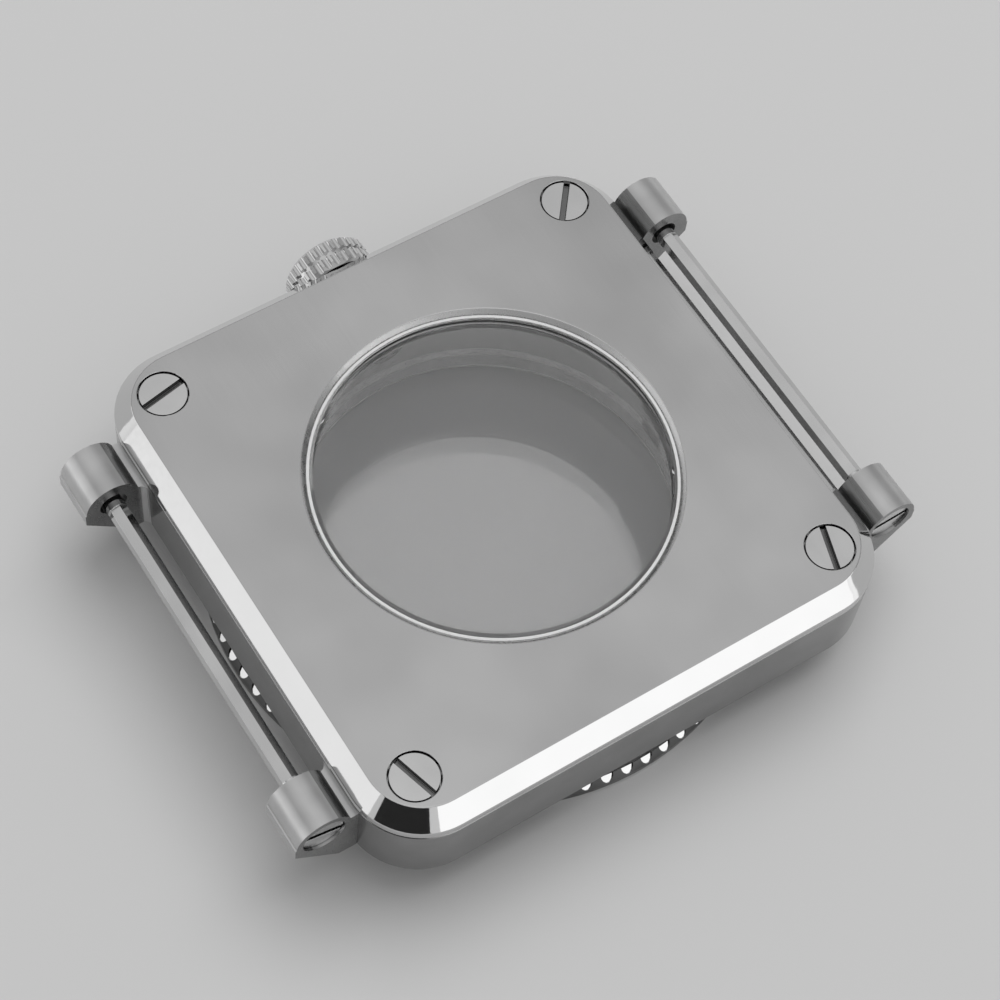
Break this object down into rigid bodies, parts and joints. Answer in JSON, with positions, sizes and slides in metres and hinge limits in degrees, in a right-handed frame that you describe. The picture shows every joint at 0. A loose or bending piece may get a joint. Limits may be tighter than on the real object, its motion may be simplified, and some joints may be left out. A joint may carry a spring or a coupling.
{
  "type": "empty watch case",
  "caption": "Square steel watch case without its movement: glazed screwed case back, notched turning bezel, fluted crown, and lugs that hold hexagonal strap bars.",
  "frame": {"origin": "centre of the dial ledge at the foot of the movement bore", "axes": "+Z towards the case back, with the case lying face down; +X towards the 12 o'clock strap bar; +Y towards the crown"},
  "size_m": [0.049, 0.0425, 0.0111],
  "materials": {
    "case_steel": "brushed sides and satin lugs",
    "back_steel": "fine brushed face with a polished chamfer",
    "bezel_steel": "polished",
    "crown_steel": "polished",
    "bar_steel": "polished",
    "screw_steel": "fine brushed",
    "spring_steel": "plain",
    "crystal": "clear",
    "crystal_gasket": "natural white",
    "seal_rubber": "matt black"
  },
  "bodies": {
    "case": {"mid_case": "case_steel", "crown_tube": "screw_steel", "case_back_gasket": "seal_rubber", "front_crystal": "crystal", "front_crystal_gasket": "crystal_gasket", "bezel_spring_wire": "spring_steel"},
    "bezel": {"bezel": "bezel_steel"},
    "case_back": {"case_back": "back_steel", "back_crystal": "crystal", "back_crystal_gasket": "crystal_gasket"},
    "crown_gasket": {"crown_gasket": "seal_rubber"},
    "crown": {"crown": "crown_steel"},
    "case_back_screw_1": {"case_back_screw_1": "screw_steel"},
    "case_back_screw_2": {"case_back_screw_2": "screw_steel"},
    "case_back_screw_3": {"case_back_screw_3": "screw_steel"},
    "case_back_screw_4": {"case_back_screw_4": "screw_steel"},
    "strap_bar_6": {"strap_bar_6": "bar_steel"},
    "strap_bar_12": {"strap_bar_12": "bar_steel"},
    "bar_screw_1": {"bar_screw_1": "screw_steel"},
    "bar_screw_2": {"bar_screw_2": "screw_steel"},
    "bar_screw_3": {"bar_screw_3": "screw_steel"},
    "bar_screw_4": {"bar_screw_4": "screw_steel"}
  },
  "joints": [
    {"name": "bezel_turn", "type": "hinge", "parent": "case", "child": "bezel", "pos_m": [0, 0, -0.002], "axis": [0, 0, 1], "continuous": true},
    {"name": "case_back_lift", "type": "slide", "parent": "case", "child": "case_back", "axis": [0, 0, 1], "range_m": [0, 0.03]},
    {"name": "crown_pull", "type": "slide", "parent": "case", "child": "crown_gasket", "axis": [0, 1, 0], "range_m": [0, 0.001]},
    {"name": "crown_turn", "type": "hinge", "parent": "crown_gasket", "child": "crown", "pos_m": [0, 0.0214, 0.0028], "axis": [0, 1, 0], "continuous": true},
    {"name": "case_back_screw_1_turn", "type": "hinge", "parent": "case_back", "child": "case_back_screw_1", "pos_m": [-0.0162, 0.0162, 0.006], "axis": [0, 0, 1], "continuous": true},
    {"name": "case_back_screw_2_turn", "type": "hinge", "parent": "case_back", "child": "case_back_screw_2", "pos_m": [0.0162, 0.0162, 0.006], "axis": [0, 0, 1], "continuous": true},
    {"name": "case_back_screw_3_turn", "type": "hinge", "parent": "case_back", "child": "case_back_screw_3", "pos_m": [0.0162, -0.0162, 0.006], "axis": [0, 0, 1], "continuous": true},
    {"name": "case_back_screw_4_turn", "type": "hinge", "parent": "case_back", "child": "case_back_screw_4", "pos_m": [-0.0162, -0.0162, 0.006], "axis": [0, 0, 1], "continuous": true},
    {"name": "strap_bar_6_turn", "type": "hinge", "parent": "case", "child": "strap_bar_6", "pos_m": [-0.0224, 0, 0.00415], "axis": [0, 1, 0], "continuous": true},
    {"name": "strap_bar_12_turn", "type": "hinge", "parent": "case", "child": "strap_bar_12", "pos_m": [0.0224, 0, 0.00415], "axis": [0, 1, 0], "continuous": true},
    {"name": "bar_screw_1_turn", "type": "hinge", "parent": "strap_bar_6", "child": "bar_screw_1", "pos_m": [-0.0224, 0.0148, 0.00415], "axis": [0, 1, 0], "continuous": true},
    {"name": "bar_screw_2_turn", "type": "hinge", "parent": "strap_bar_6", "child": "bar_screw_2", "pos_m": [-0.0224, -0.0148, 0.00415], "axis": [0, 1, 0], "continuous": true},
    {"name": "bar_screw_3_turn", "type": "hinge", "parent": "strap_bar_12", "child": "bar_screw_3", "pos_m": [0.0224, 0.0148, 0.00415], "axis": [0, 1, 0], "continuous": true},
    {"name": "bar_screw_4_turn", "type": "hinge", "parent": "strap_bar_12", "child": "bar_screw_4", "pos_m": [0.0224, -0.0148, 0.00415], "axis": [0, 1, 0], "continuous": true}
  ]
}
